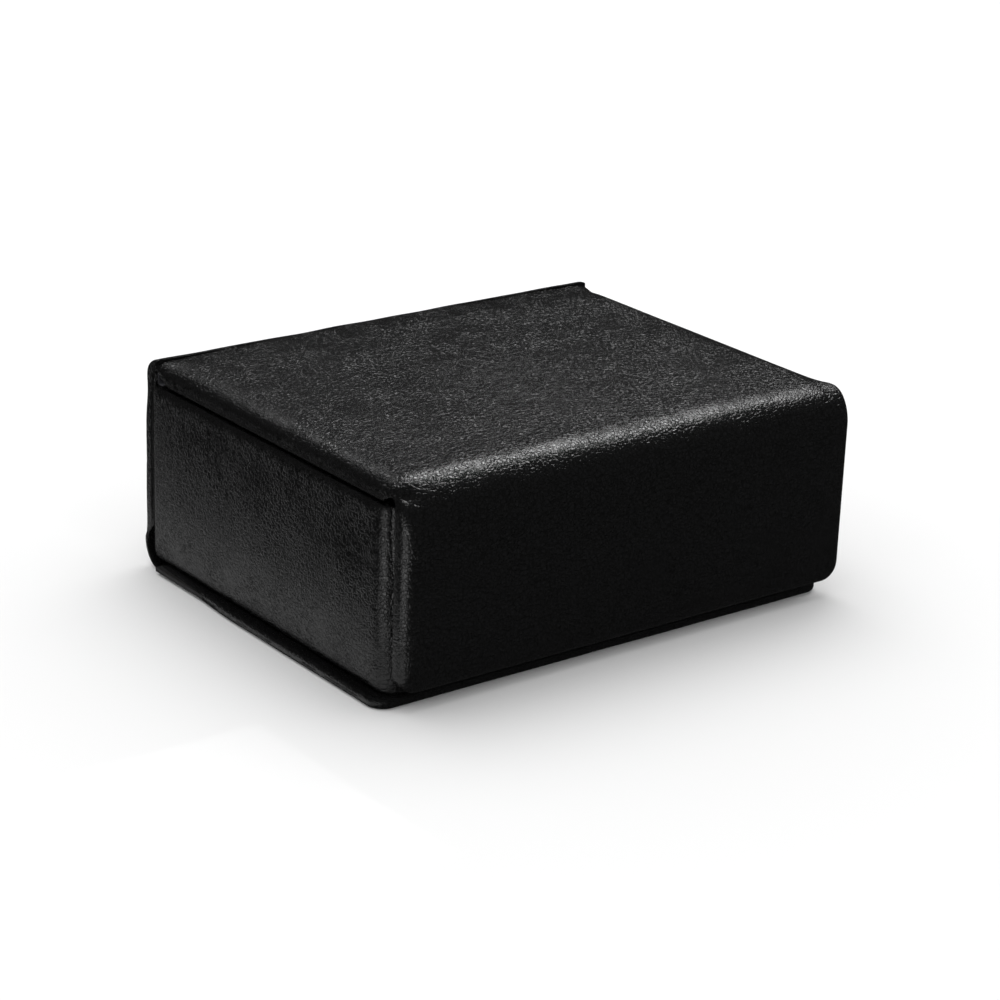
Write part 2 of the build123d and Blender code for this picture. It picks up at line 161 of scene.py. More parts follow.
def grid_mesh(name, points, around=False, capped=False):
    """Mesh over rows and columns of points, with a face on each square of four neighbours.
    around joins the last column to the first, and capped closes the first and last rows."""
    rows, columns = points.shape[:2]
    index = np.arange(rows * columns).reshape(rows, columns)
    if around:
        index = np.hstack([index, index[:, :1]])
    squares = np.stack([index[:-1, :-1], index[1:, :-1], index[1:, 1:], index[:-1, 1:]], -1)
    faces = squares.reshape(-1, 4).tolist()
    if capped:
        faces.append(index[0, :columns].tolist())
        faces.append(index[-1, :columns][::-1].tolist())
    mesh = bpy.data.meshes.new(name)
    mesh.from_pydata(points.reshape(-1, 3).tolist(), [], faces)
    mesh.polygons.foreach_set("use_smooth", np.ones(len(faces), bool))
    if capped:
        sharp = np.zeros(len(mesh.edges), bool)
        corner_edges = np.empty(len(mesh.loops), np.int32)
        mesh.loops.foreach_get("edge_index", corner_edges)
        sharp[corner_edges[-2 * columns:]] = True
        mesh.attributes.new("sharp_edge", "BOOLEAN", "EDGE").data.foreach_set("value", sharp)
    mesh.update()
    piece = bpy.data.objects.new(name, mesh)
    bpy.context.scene.collection.objects.link(piece)
    return piece


def strip_piece(name, route, places, loops, upright=False):
    """Carries closed cross-sections along a route. The route lies in (y, z) with the side along
    X, or for an upright strip in (x, y) with the side along Z. Depth goes to the route's left."""
    side, depth = loops
    here, inward = follow(route, places)
    first = here[:, :1] + inward[:, :1] * depth
    second = here[:, 1:] + inward[:, 1:] * depth
    order = (first, second, side) if upright else (side, first, second)
    return grid_mesh(name, np.stack(order, -1), around=True, capped=True)


def swell(points, wavelength, seed, waves=14):
    """Soft unevenness, mostly from -1 to 1: a sum of sine waves in random directions."""
    chance = np.random.default_rng(seed)
    heading = chance.normal(size=(waves, 3))
    heading /= np.linalg.norm(heading, axis=1)[:, None]
    number = 2 * np.pi / (wavelength * chance.uniform(0.7, 1.6, waves))
    phase = chance.uniform(0, 2 * np.pi, waves)
    return np.sin((points @ heading.T) * number + phase).sum(-1) / math.sqrt(waves)


def ripple(place, side, wavelength, seed):
    """The same unevenness over a strip, from the distance along it and across it."""
    return swell(np.stack(np.broadcast_arrays(place, side, 0 * side), -1), wavelength, seed)


class Maker:
    """Builds one node material around a Principled shader."""

    def __init__(self, name):
        self.material = bpy.data.materials.new(name)
        self.material.use_nodes = True
        self.tree = self.material.node_tree
        self.tree.nodes.clear()
        output = self.add("ShaderNodeOutputMaterial")
        self.shader = self.add("ShaderNodeBsdfPrincipled")
        self.wire(self.shader, "BSDF", output, "Surface")
        self.place = self.add("ShaderNodeTexCoord")

    def add(self, kind, settings=None, **values):
        """Makes a node, sets its properties from settings and its inputs from the other names."""
        node = self.tree.nodes.new(kind)
        for key, value in (settings or {}).items():
            setattr(node, key, value)
        for key, value in values.items():
            node.inputs[key.replace("_", " ")].default_value = value
        return node

    def wire(self, source, output, target, socket):
        """Links an output of one node to an input of another."""
        self.tree.links.new(source.outputs[output], target.inputs[socket])

    def noise(self, size, detail=2.0, roughness=0.5, stretch=(1, 1, 1)):
        """Noise whose blotches are about size metres across, in the piece's own coordinates."""
        node = self.add("ShaderNodeTexNoise", Scale=1 / size, Detail=detail, Roughness=roughness)
        self.wire(self.stretched(stretch), "Vector", node, "Vector")
        return node

    def stretched(self, stretch):
        """The piece's own coordinates, scaled along each axis."""
        node = self.add("ShaderNodeMapping", Scale=stretch)
        self.wire(self.place, "Object", node, "Vector")
        return node

    def blend(self, source, output, low, high, start, stop):
        """Maps source from low..high to start..stop, smoothly, and returns the node."""
        node = self.add("ShaderNodeMapRange", {"interpolation_type": "SMOOTHSTEP"})
        for socket, value in (("From Min", low), ("From Max", high), ("To Min", start), ("To Max", stop)):
            node.inputs[socket].default_value = value
        self.wire(source, output, node, "Value")
        return node

    def sum(self, first, second, share, operation="ADD"):
        """first plus share times second, or another operation of the two."""
        scaled = self.add("ShaderNodeMath", {"operation": "MULTIPLY"})
        scaled.inputs[1].default_value = share
        self.wire(*second, scaled, 0)
        node = self.add("ShaderNodeMath", {"operation": operation})
        self.wire(*first, node, 0)
        self.wire(scaled, "Value", node, 1)
        return node

    def tint(self, driver, output, *stops):
        """Colour ramp over driver, with stops as (position, colour)."""
        ramp = self.add("ShaderNodeValToRGB")
        ramp.color_ramp.elements[0].position, ramp.color_ramp.elements[0].color = stops[0]
        ramp.color_ramp.elements[1].position, ramp.color_ramp.elements[1].color = stops[-1]
        for position, colour in stops[1:-1]:
            ramp.color_ramp.elements.new(position).color = colour
        self.wire(driver, output, ramp, "Fac")
        self.wire(ramp, "Color", self.shader, "Base Color")

    def relief(self, driver, output, height):
        """Bump of that height in metres, where driver goes from 0 to 1."""
        node = self.add("ShaderNodeBump", Strength=1.0, Distance=height)
        self.wire(driver, output, node, "Height")
        self.wire(node, "Normal", self.shader, "Normal")


def grey(level, blue=1.0):
    """Opaque colour of that linear level, a little bluer where blue exceeds 1."""
    return (level, level, level * blue, 1.0)


def nappa_leather():
    """Black nappa: pebbles between creases as a Voronoi pattern bent by noise, fine wrinkles
    and pores on the pebbles, colour darker in the creases as painted shade, and gloss that is duller in
    the creases."""
    maker = Maker("black_nappa")
    bent = maker.noise(1.6 * MM, detail=2.0)
    centred = maker.add("ShaderNodeVectorMath", {"operation": "SUBTRACT"})
    centred.inputs[1].default_value = (0.5, 0.5, 0.5)
    maker.wire(bent, "Color", centred, 0)
    shifted = maker.add("ShaderNodeVectorMath", {"operation": "MULTIPLY_ADD"})
    shifted.inputs[1].default_value = (0.9 * MM, 0.9 * MM, 0.9 * MM)
    maker.wire(centred, "Vector", shifted, 0)
    maker.wire(maker.place, "Object", shifted, 2)
    pebbles = maker.add("ShaderNodeTexVoronoi", {"feature": "DISTANCE_TO_EDGE"}, Scale=1 / (0.78 * MM))
    wrinkles = maker.add("ShaderNodeTexVoronoi", {"feature": "DISTANCE_TO_EDGE"}, Scale=1 / (0.36 * MM))
    for pattern in (pebbles, wrinkles):
        maker.wire(shifted, "Vector", pattern, "Vector")
    pebble_height_and_shade = maker.blend(pebbles, "Distance", 0.0, 0.24, 0.0, 1.0)
    folded = maker.blend(wrinkles, "Distance", 0.0, 0.16, 0.0, 1.0)
    pores = maker.noise(0.16 * MM, detail=3.0, roughness=0.65)
    depth = maker.noise(7 * MM, detail=2.0)
    varied = maker.blend(depth, "Fac", 0.35, 0.65, 0.55, 1.0)
    uneven = maker.add("ShaderNodeMath", {"operation": "MULTIPLY"})
    maker.wire(pebble_height_and_shade, "Result", uneven, 0)
    maker.wire(varied, "Result", uneven, 1)
    grain = maker.sum((uneven, "Value"), (folded, "Result"), 0.12)
    skin = maker.sum((grain, "Value"), (pores, "Fac"), 0.06)
    maker.relief(skin, "Value", 0.062 * MM)
    # The colour is darker where the pebbles dip into the creases: painted shade.
    maker.tint(pebble_height_and_shade, "Result", (0.0, grey(0.0028)), (0.5, grey(0.0046)), (1.0, grey(0.0056, 1.05)))
    shine = maker.sum((pores, "Fac"), (pebble_height_and_shade, "Result"), -0.35)
    gloss = maker.blend(shine, "Value", 0.0, 0.7, 0.19, 0.28)
    maker.wire(gloss, "Result", maker.shader, "Roughness")
    maker.shader.inputs["Specular IOR Level"].default_value = 0.5
    return maker.material


nappa = nappa_leather()


def finish_piece(piece, material, body=None, replaces=()):
    """Gives a finished mesh its material and body, and hides the CAD nodes it replaces."""
    piece.data.materials.append(material)
    if body:
        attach(piece, body)
    if replaces:
        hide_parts(*replaces)
    return piece


base_low, base_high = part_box("base_leather")
spine_low, spine_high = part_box("spine_leather")
base_thickness = base_high.z - base_low.z
spine_thickness = spine_high.y - spine_low.y
base_bend = spine_high.y - base_high.y
base_corner = 3.5 * MM
base_roll = 1.0 * MM
bend_thinning = 1.5 * MM
rear_narrowing = 1.7 * MM
spine_flare = 0.6 * MM
spine_join = 20.0 * MM

base_route = soften(np.vstack([
    straight((base_low.y, base_low.z), (base_high.y, base_low.z)),
    bend((base_high.y, base_low.z + base_bend), base_bend, -90, 0),
    straight((spine_high.y, base_low.z + base_bend), (spine_high.y, spine_join)),
    [(spine_high.y, spine_join)]]), 8)
base_length = route_length(base_route)[-1]
base_places = stations(base_length, 0.7 * MM, first_roll=base_corner)
base_height = follow(base_route, base_places)[0][:, 1]
bend_start = base_high.y - base_low.y
in_bend = ease(base_places, bend_start - 2 * MM, bend_start + 3 * MM)
in_spine = ease(base_height, base_bend - 1 * MM, base_bend + 3 * MM)
to_spine = ease(base_height, 0, 8.5 * MM)
base_wrap_thickness = (base_thickness - bend_thinning * in_bend
                       + (spine_thickness - base_thickness + bend_thinning) * in_spine)
rear_pull = rear_narrowing * ease(base_places, 0.6 * bend_start, bend_start + 3 * MM) * (1 - to_spine)
base_loops = section_loops(
    base_places,
    low=base_low.x + rear_pull + (spine_low.x - spine_flare - base_low.x) * to_spine,
    high=base_high.x + (spine_high.x - base_high.x) * to_spine,
    thickness=base_wrap_thickness,
    roll=base_roll + 0 * base_places,
    drop=base_roll - 0.5 * MM * in_bend + 0.3 * MM * in_spine,
    curl=base_roll - 0.5 * MM * in_bend + 0.3 * MM * in_spine,
    corners=(base_corner, 0),
    relief=lambda place, side, inset: 0.04 * MM * ripple(place, side, 14 * MM, 3))
finish_piece(strip_piece("base_and_spine_wrap", base_route, base_places, base_loops), nappa, "box",
             ("base_leather", "base_bend_leather", "spine_leather"))


# ---- Rear hinge leather --------------------------------------------------------------------
# The same strip goes on up the spine and over to the lid's rear edge. Between the two boards it
# is soft leather alone, so it bends there as the hinge and bulges a little above the spine.

lid_low, lid_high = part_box("lid_leather")
hinge_radius = 2.7 * MM
hinge_bulge = 0.40 * MM
lid_rear = lid_high.y
rear_drop = 0.5 * MM

hinge_route = soften(np.vstack([
    straight((spine_high.y, spine_join), (spine_high.y, lid_high.z - rear_drop - hinge_radius)),
    bend((spine_high.y - hinge_radius, lid_high.z - rear_drop - hinge_radius), hinge_radius, 0, 90),
    straight((spine_high.y - hinge_radius, lid_high.z - rear_drop), (lid_rear, lid_high.z - rear_drop)),
    [(lid_rear, lid_high.z - rear_drop)]]), 6)
hinge_length = route_length(hinge_route)[-1]
hinge_places = stations(hinge_length, 0.32 * MM)
hinge_height = follow(hinge_route, hinge_places)[0][:, 1]
past_spine = ease(hinge_length - hinge_places, 2.4 * MM, 0.2 * MM)
hinge_shell = 1.25 * MM


def hinge_relief(place, side, inset):
    """The neck above the spine board, the bulge over the bend, and slight unevenness."""
    turned = hinge_length - place
    return (hinge_bulge * bell(turned, 4.4 * MM, 2.2 * MM) - 0.12 * MM * bell(turned, 9 * MM, 2.6 * MM)
            + 0.05 * MM * ripple(place, side, 12 * MM, 5))


hinge_loops = section_loops(
    hinge_places, low=spine_low.x - spine_flare * ease(hinge_height, lid_high.z, 28 * MM),
    high=spine_high.x + 0 * hinge_places,
    thickness=spine_thickness + (hinge_shell - spine_thickness) * past_spine,
    roll=base_roll + 0 * hinge_places, drop=0.8 * MM - 0.3 * MM * past_spine,
    curl=0.8 * MM - 0.4 * MM * past_spine, relief=hinge_relief)
rear_hinge_wrap = strip_piece("rear_hinge_wrap", hinge_route, hinge_places, hinge_loops)
finish_piece(rear_hinge_wrap, nappa, replaces=["rear_hinge_leather"])
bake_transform(rear_hinge_wrap)


# ---- Lid and flap leather ------------------------------------------------------------------
# The strip covers the padded lid, rolls over the soft front fold and covers the flap. Foam
# under it swells the lid, so its sides roll off wide. The fold is pinched at its left end.

flap_low, flap_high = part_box("flap_leather")
lid_front = lid_low.y
fold_radius = lid_front - flap_low.y
lid_thickness = lid_high.z - lid_low.z
flap_thickness = flap_high.y - flap_low.y
flap_bottom = flap_low.z
flap_corner = 3.8 * MM
lid_crown = 0.45 * MM

lid_route = soften(np.vstack([
    straight((lid_rear, lid_high.z - rear_drop), (lid_rear - 7 * MM, lid_high.z - 0.06 * MM)),
    straight((lid_rear - 7 * MM, lid_high.z - 0.06 * MM), (lid_front, lid_high.z)),
    bend((lid_front, lid_high.z - fold_radius), fold_radius, 90, 180),
    straight((flap_low.y, lid_high.z - fold_radius), (flap_low.y, flap_bottom)),
    [(flap_low.y, flap_bottom)]]), 9)
lid_length = route_length(lid_route)[-1]
lid_places = stations(lid_length, 0.55 * MM, last_roll=flap_corner)
lid_here = follow(lid_route, lid_places)[0]
fold_start = lid_length - (lid_high.z - fold_radius - flap_bottom) - fold_radius * np.pi / 2
fold_end = lid_length - (lid_high.z - fold_radius - flap_bottom)
crease_place = fold_start + 0.42 * (fold_end - fold_start)
from_rear = ease(lid_places, -1.5 * MM, 4.6 * MM)
to_fold = ease(lid_places, fold_start - 0.6 * MM, crease_place - 0.6 * MM)
to_flap = ease(lid_places, crease_place - 1 * MM, fold_end + 1 * MM)
fold_shell = 2.8 * MM
lid_middle = (lid_low.x + lid_high.x) / 2
half_width = (lid_high.x - lid_low.x) / 2


def stage_values(rear, lid, fold, flap):
    """A size along the strip: at the lid's rear edge, over the lid, in the fold, on the flap."""
    return rear + (lid - rear) * from_rear + (fold - lid) * to_fold + (flap - fold) * to_flap


def lid_relief(place, side, inset):
    """Crown across the lid, the swelling of foam, slight unevenness that fades at the rolled
    edges, the dents of the fold's pinched left end and the fullness of its right end."""
    on_lid = 1 - ease(place, fold_start - 2 * MM, fold_end)
    across = np.abs(side - lid_middle) / half_width
    crown = -lid_crown * across ** 2.5 * on_lid
    shape = 0.05 * MM * ripple(place, side, 16 * MM, 11) * ease(inset, 0, 5 * MM)
    puffed = 0.30 * MM * bell(place, fold_end + 3 * MM, 6 * MM) * ease(inset, 0, 6 * MM)
    dent = 0.75 * MM * bell(place, crease_place + 0.9 * MM, 1.3 * MM) * bell(inset, 1.7 * MM, 1.2 * MM)
    valley = 0.35 * MM * bell(place, crease_place + 2.2 * MM, 2.6 * MM) * bell(inset, 3.0 * MM, 2.2 * MM)
    fuller = 0.9 * MM * bell(place, crease_place - 1.5 * MM, 4.5 * MM) * ease(inset, 3.5 * MM, 0)
    return crown + shape + puffed + np.where(side < lid_middle, -dent - valley, fuller)


pinch = 0.45 * MM * bell(lid_places, crease_place, 1.8 * MM)
lid_shell = stage_values(1.35 * MM, lid_thickness, fold_shell, flap_thickness)
over_board = np.where(lid_places < fold_start, lid_here[:, 1] - lid_low.z - 0.02 * MM, lid_thickness)
lid_loops = section_loops(
    lid_places, low=lid_low.x + pinch, high=lid_high.x - 0.3 * MM * to_fold,
    thickness=np.minimum(lid_shell, over_board),
    roll=stage_values(3.0 * MM, 6.5 * MM, 5.5 * MM, 3.0 * MM),
    drop=stage_values(0.5 * MM, 2.7 * MM, 2.1 * MM, 2.2 * MM),
    curl=stage_values(0.4 * MM, 0.8 * MM, 0.4 * MM, 0.8 * MM),
    columns=110, corners=(0, flap_corner), relief=lid_relief)
lid_and_flap_wrap = strip_piece("lid_and_flap_wrap", lid_route, lid_places, lid_loops)
finish_piece(lid_and_flap_wrap, nappa,
             replaces=["lid_leather", "lid_foam", "fold_leather", "fold_foam", "flap_leather",
                       "flap_foam"])
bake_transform(lid_and_flap_wrap)


# ---- Tray leather --------------------------------------------------------------------------
# One strip of nappa covers the tray's left side, front and right side. Thin foam swells the two
# sides. The strip turns round the front corners, where it gathers in fine level wrinkles.

left_low, left_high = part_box("left_wall_leather")
right_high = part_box("right_wall_leather")[1]
tray_low = Vector((left_low.x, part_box("front_wall_leather")[0].y, left_low.z))
tray_high = Vector((right_high.x, right_high.y, right_high.z))
tray_corner = 4.0 * MM
side_thickness = left_high.x - left_low.x
front_thickness = 0.6 * MM
side_puff = 0.45 * MM

tray_route = soften(np.vstack([
    straight((tray_low.x, tray_high.y), (tray_low.x, tray_low.y + tray_corner)),
    bend((tray_low.x + tray_corner, tray_low.y + tray_corner), tray_corner, 180, 270),
    straight((tray_low.x + tray_corner, tray_low.y), (tray_high.x - tray_corner, tray_low.y)),
    bend((tray_high.x - tray_corner, tray_low.y + tray_corner), tray_corner, 270, 360),
    straight((tray_high.x, tray_low.y + tray_corner), (tray_high.x, tray_high.y)),
    [(tray_high.x, tray_high.y)]]), 8)
tray_length = route_length(tray_route)[-1]
tray_end_roll = 1.8 * MM
tray_places = stations(tray_length, 0.55 * MM, tray_end_roll, tray_end_roll)
side_run = tray_high.y - tray_low.y - tray_corner
corner_run = tray_corner * np.pi / 2


def from_corner(place):
    """Distance back along a side from where the nearer front corner starts to turn."""
    return side_run - np.minimum(place, tray_length - place)


def tray_relief(place, side, inset):
    """Foam swelling the sides, level wrinkles near the front corners, slight unevenness."""
    back = from_corner(place)
    swollen = ease(back, -4 * MM, 12 * MM) * ease(side_run - back, -4 * MM, 10 * MM)
    fade = bell(np.minimum(back, 0), 0, 3 * MM) * np.exp(-np.maximum(back, 0) / (9 * MM))
    level = ripple(place * 0.12, side, 1.25 * MM, 21)
    coarse = ripple(place * 0.25, side, 3.1 * MM, 23)
    upward = ease(side, tray_low.z - 12 * MM, tray_high.z - 4 * MM)
    tuck = 0.75 * MM * upward * bell(back, -0.62 * corner_run, 1.5 * MM)
    rolled_end = 0.95 * MM * rolled(np.minimum(place, tray_length - place) / tray_end_roll)
    return (side_puff * swollen * ease(inset, 0, 13 * MM) - tuck - rolled_end
            + (0.016 * MM * level + 0.03 * MM * coarse) * fade * ease(inset, 0, 2 * MM)
            + 0.06 * MM * ripple(place, side, 15 * MM, 22) * ease(inset, 0, 5 * MM))


on_front = ease(from_corner(tray_places), 2.0 * MM, -0.6 * corner_run)
tray_loops = section_loops(
    tray_places, low=tray_low.z + 0 * tray_places, high=tray_high.z + 0 * tray_places,
    thickness=side_thickness + (front_thickness - side_thickness) * on_front,
    roll=2.0 * MM - 1.6 * MM * on_front, drop=0.9 * MM - 0.7 * MM * on_front,
    curl=0.35 * MM - 0.15 * MM * on_front, columns=64, relief=tray_relief)
tray_wrap = strip_piece("tray_wrap", tray_route, tray_places, tray_loops, upright=True)
finish_piece(tray_wrap, nappa, "box", replaces=(
    "left_wall_leather", "right_wall_leather", "front_wall_leather", "left_wall_foam",
    "right_wall_foam"))


# ---- Boards and base paper -------------------------------------------------------------------
# Dyed board stiffens the base, spine, tray walls, divider, lid and flap. It is cut to size and
# glued in under the leather and the suede. Black paper lines the base plate's inner side.

def grey_board():
    """Dyed pulp board: dark grey with darker and lighter fibres, matt, slightly rough."""
    maker = Maker("grey_board")
    fibres = maker.noise(0.5 * MM, detail=6.0, roughness=0.7, stretch=(1.0, 0.25, 1.0))
    maker.tint(fibres, "Fac", (0.25, grey(0.012)), (0.55, grey(0.022)), (0.8, grey(0.036)))
    maker.relief(fibres, "Fac", 0.05 * MM)
    maker.shader.inputs["Roughness"].default_value = 0.9
    return maker.material


def lining_paper():
    """Black paper with a fine tooth."""
    maker = Maker("lining_paper")
    tooth = maker.noise(0.25 * MM, detail=4.0)
    maker.tint(tooth, "Fac", (0.3, grey(0.012)), (0.7, grey(0.020)))
    maker.relief(tooth, "Fac", 0.02 * MM)
    maker.shader.inputs["Roughness"].default_value = 0.85
    return maker.material


board, paper = grey_board(), lining_paper()
board_nodes = ("base_board", "spine_board", "tray_floor_board", "left_wall_board", "right_wall_board",
               "front_wall_board", "back_wall_board", "divider_board", "lid_board", "flap_board")


def dress(node, material):
    """Puts a material on a CAD node."""
    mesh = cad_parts[node].data
    mesh.materials.clear()
    mesh.materials.append(material)


for node in board_nodes:
    dress(node, board)
dress("base_lining", paper)


# ---- Tray lining and rim ---------------------------------------------------------------------
# Charcoal suede lines the four walls. It is one band with soft inside corners. A rim of nappa is
# rolled over the walls' upper edge and hides where suede and leather meet.

def charcoal_suede():
    """Suede: a napped fibre surface with lighter and darker strokes and a soft sheen."""
    maker = Maker("charcoal_suede")
    strokes = maker.noise(3.5 * MM, detail=4.0, roughness=0.6, stretch=(1.0, 0.5, 0.7))
    nap = maker.noise(0.30 * MM, detail=4.0, roughness=0.7)
    tone = maker.sum((nap, "Fac"), (strokes, "Fac"), 0.45)
    maker.tint(tone, "Value", (0.50, (0.014, 0.014, 0.016, 1)), (0.74, (0.028, 0.028, 0.031, 1)),
               (0.95, (0.055, 0.055, 0.060, 1)))
    maker.relief(nap, "Fac", 0.16 * MM)
    maker.shader.inputs["Roughness"].default_value = 0.95
    maker.shader.inputs["Specular IOR Level"].default_value = 0.15
    maker.shader.inputs["Sheen Weight"].default_value = 0.35
    maker.shader.inputs["Sheen Roughness"].default_value = 0.5
    maker.shader.inputs["Sheen Tint"].default_value = (0.5, 0.5, 0.55, 1)
    return maker.material


suede = charcoal_suede()
left_lining, right_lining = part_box("left_lining"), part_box("right_lining")
front_lining, back_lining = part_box("front_lining"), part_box("back_lining")
inner_low = Vector((left_lining[1].x, front_lining[1].y, left_lining[0].z))
inner_high = Vector((right_lining[0].x, back_lining[0].y, left_lining[1].z))
suede_thickness = left_lining[1].x - left_lining[0].x


def lining_strip(name, route, step, corners=(0, 0), upright=False, **section):
    """Strip along a route with one cross-section. corners rounds its two ends by those radii."""
    places = stations(route_length(route)[-1], step, *corners)
    loops = section_loops(places, corners=corners, **section)
    return strip_piece(name, route, places, loops, upright)


def clockwise_frame(low, high, radius):
    """Closed rectangle with rounded corners, clockwise from the middle of its back edge."""
    middle = (low[0] + high[0]) / 2
    return np.vstack([
        straight((middle, high[1]), (high[0] - radius, high[1])),
        bend((high[0] - radius, high[1] - radius), radius, 90, 0),
        straight((high[0], high[1] - radius), (high[0], low[1] + radius)),
        bend((high[0] - radius, low[1] + radius), radius, 0, -90),
        straight((high[0] - radius, low[1]), (low[0] + radius, low[1])),
        bend((low[0] + radius, low[1] + radius), radius, -90, -180),
        straight((low[0], low[1] + radius), (low[0], high[1] - radius)),
        bend((low[0] + radius, high[1] - radius), radius, 180, 90),
        straight((low[0] + radius, high[1]), (middle, high[1])), [(middle, high[1])]])


inner_corner = 1.6 * MM
inner_outline = clockwise_frame(inner_low, inner_high, inner_corner)
tray_lining = lining_strip(
    "tray_lining", inner_outline, 0.6 * MM, upright=True, low=inner_low.z, high=inner_high.z,
    thickness=suede_thickness, roll=0.5 * MM, drop=0.3 * MM, curl=0.1 * MM, columns=40,
    relief=lambda place, side, inset: 0.05 * MM * ripple(place, side, 11 * MM, 31))
finish_piece(tray_lining, suede, "box",
             ("left_lining", "right_lining", "front_lining", "back_lining"))

rim_low, rim_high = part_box("rim_leather")
rim_margin = 0.35 * MM
rim_corner = 2.4 * MM
rim_edge_drop = 0.28 * MM
rim_edge_width = 0.7 * MM
rim_outer = clockwise_frame((rim_low.x - rim_margin, rim_low.y + rim_margin),
                            (rim_high.x + rim_margin, rim_high.y), rim_corner)
turns = np.linspace(0, 1, 560)


def share_along(route):
    """Points of a closed route at equal shares of its length."""
    length = route_length(route)
    return np.stack([np.interp(turns * length[-1], length, route[:, axis]) for axis in (0, 1)], -1)


def nearest_along(outer, inner):
    """For each outer point, the nearest point of the inner route, evened along the rows."""
    gap = np.linalg.norm(outer[:, None] - inner[None], axis=2)
    found = inner[gap.argmin(1)]
    evened = soften(found, 4)
    evened[[0, -1]] = evened[[0, -1]].mean(0)
    return evened


rim_edge = share_along(rim_outer)
rim_inside = nearest_along(rim_edge, inner_outline)
rim_start = np.array([0, 0.02, 0.06, 0.12])
rim_share = np.concatenate([rim_start, np.linspace(0.2, 0.8, 12), 1 - rim_start[::-1]])
rim_width = np.linalg.norm(rim_inside - rim_edge, axis=1)[:, None]
rim_inset = np.minimum(rim_share, 1 - rim_share) * rim_width
rim_top = rim_high.z - rim_edge_drop * rolled(rim_inset / rim_edge_width) + 0.02 * MM
rim_bottom = rim_low.z + 0 * rim_top
rim_across = np.hstack([rim_share, rim_share[::-1]])
rim_ring = rim_edge[:, None] + rim_across[None, :, None] * (rim_inside - rim_edge)[:, None]
rim_points = np.dstack([rim_ring, np.hstack([rim_top, rim_bottom[:, ::-1]])])
tray_rim = grid_mesh("tray_rim", rim_points[::-1], around=True, capped=True)
finish_piece(tray_rim, nappa, "box", ["rim_leather"])


# ---- Floor cushion, divider and ring rolls ---------------------------------------------------
# A thin suede cushion covers the tray's floor. A suede-covered board divides the tray. Five foam
# rolls in suede fill its left part, pressed side by side so that rings stand between them.

def straight_runs(*corners):
    """Route through the corners in straight runs, with its last point."""
    runs = [straight(start, end) for start, end in zip(corners, corners[1:])]
    return np.vstack([*runs, [corners[-1]]])


pad_low, pad_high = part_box("floor_pad")
cushion_edge = 0.9 * MM
cushion_gap = 0.05 * MM
cushion_top = pad_high.z + 0.1 * MM


def cushion_relief(place, side, inset):
    """The cushion's crown and its slight unevenness."""
    return 0.25 * MM * ease(inset, 0, 9 * MM) + 0.05 * MM * ripple(place, side, 9 * MM, 41)


floor_cushion = lining_strip(
    "floor_cushion",
    straight_runs((pad_high.y - cushion_gap, cushion_top), (pad_low.y + cushion_gap, cushion_top)),
    0.7 * MM, corners=(cushion_edge, cushion_edge), low=pad_low.x + cushion_gap,
    high=pad_high.x - cushion_gap, thickness=pad_high.z - pad_low.z, roll=1.8 * MM, drop=0.8 * MM,
    curl=0.1 * MM, columns=100, relief=cushion_relief)
finish_piece(floor_cushion, suede, "box", ["floor_pad"])


def upright_outline(low, high, radius):
    """Closed profile over two corners, with rounded upper corners, clockwise from its lower
    left corner, and its inward normals."""
    outline = np.vstack([
        straight((low[0], low[1]), (low[0], high[1] - radius), 0.5 * MM),
        bend((low[0] + radius, high[1] - radius), radius, 180, 90, 0.35 * MM),
        straight((low[0] + radius, high[1]), (high[0] - radius, high[1]), 0.5 * MM),
        bend((high[0] - radius, high[1] - radius), radius, 90, 0, 0.35 * MM),
        straight((high[0], high[1] - radius), (high[0], low[1]), 0.5 * MM),
        straight((high[0], low[1]), (low[0], low[1]), 0.5 * MM)])
    heading = np.roll(outline, -1, axis=0) - np.roll(outline, 1, axis=0)
    heading /= np.linalg.norm(heading, axis=1)[:, None]
    return outline, np.stack([heading[:, 1], -heading[:, 0]], -1)


def end_rolled(places, radius):
    """How far a section shrinks at each place, where both ends are rounded with a radius."""
    gap = np.minimum(places - places[0], places[-1] - places)
    return radius - np.sqrt(np.maximum(radius ** 2 - np.maximum(radius - gap, 0) ** 2, 0))


divider_low, divider_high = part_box("divider_cover")
divider_radius = 0.48 * (divider_high.x - divider_low.x)
divider_section, divider_inward = upright_outline(
    (divider_low.x, divider_low.z), (divider_high.x, divider_high.z + 0.3 * MM), divider_radius)
divider_places = np.linspace(divider_low.y, divider_high.y, 120)
divider_ripple = 0.05 * MM * swell(np.stack(np.broadcast_arrays(
    divider_section[None, :, 0], divider_places[:, None], divider_section[None, :, 1]), -1), 8 * MM, 43)
divider_ring = divider_section[None] + divider_inward[None] * divider_ripple[..., None]
divider_along = np.broadcast_to(divider_places[:, None], divider_ring.shape[:2])
divider_points = np.stack([divider_ring[..., 0], divider_along, divider_ring[..., 1]], -1)
divider_sleeve = grid_mesh("divider_sleeve", divider_points, around=True, capped=True)
finish_piece(divider_sleeve, suede, "box", ["divider_cover"])

rolls_low, rolls_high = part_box("ring_roll_covers")
roll_count = 5
roll_gap = 0.5 * MM
roll_overhang = 0.3 * MM
roll_pitch = (rolls_high.y - rolls_low.y + 2 * roll_overhang) / roll_count
roll_radius = 5.0 * MM
roll_end = 1.8 * MM

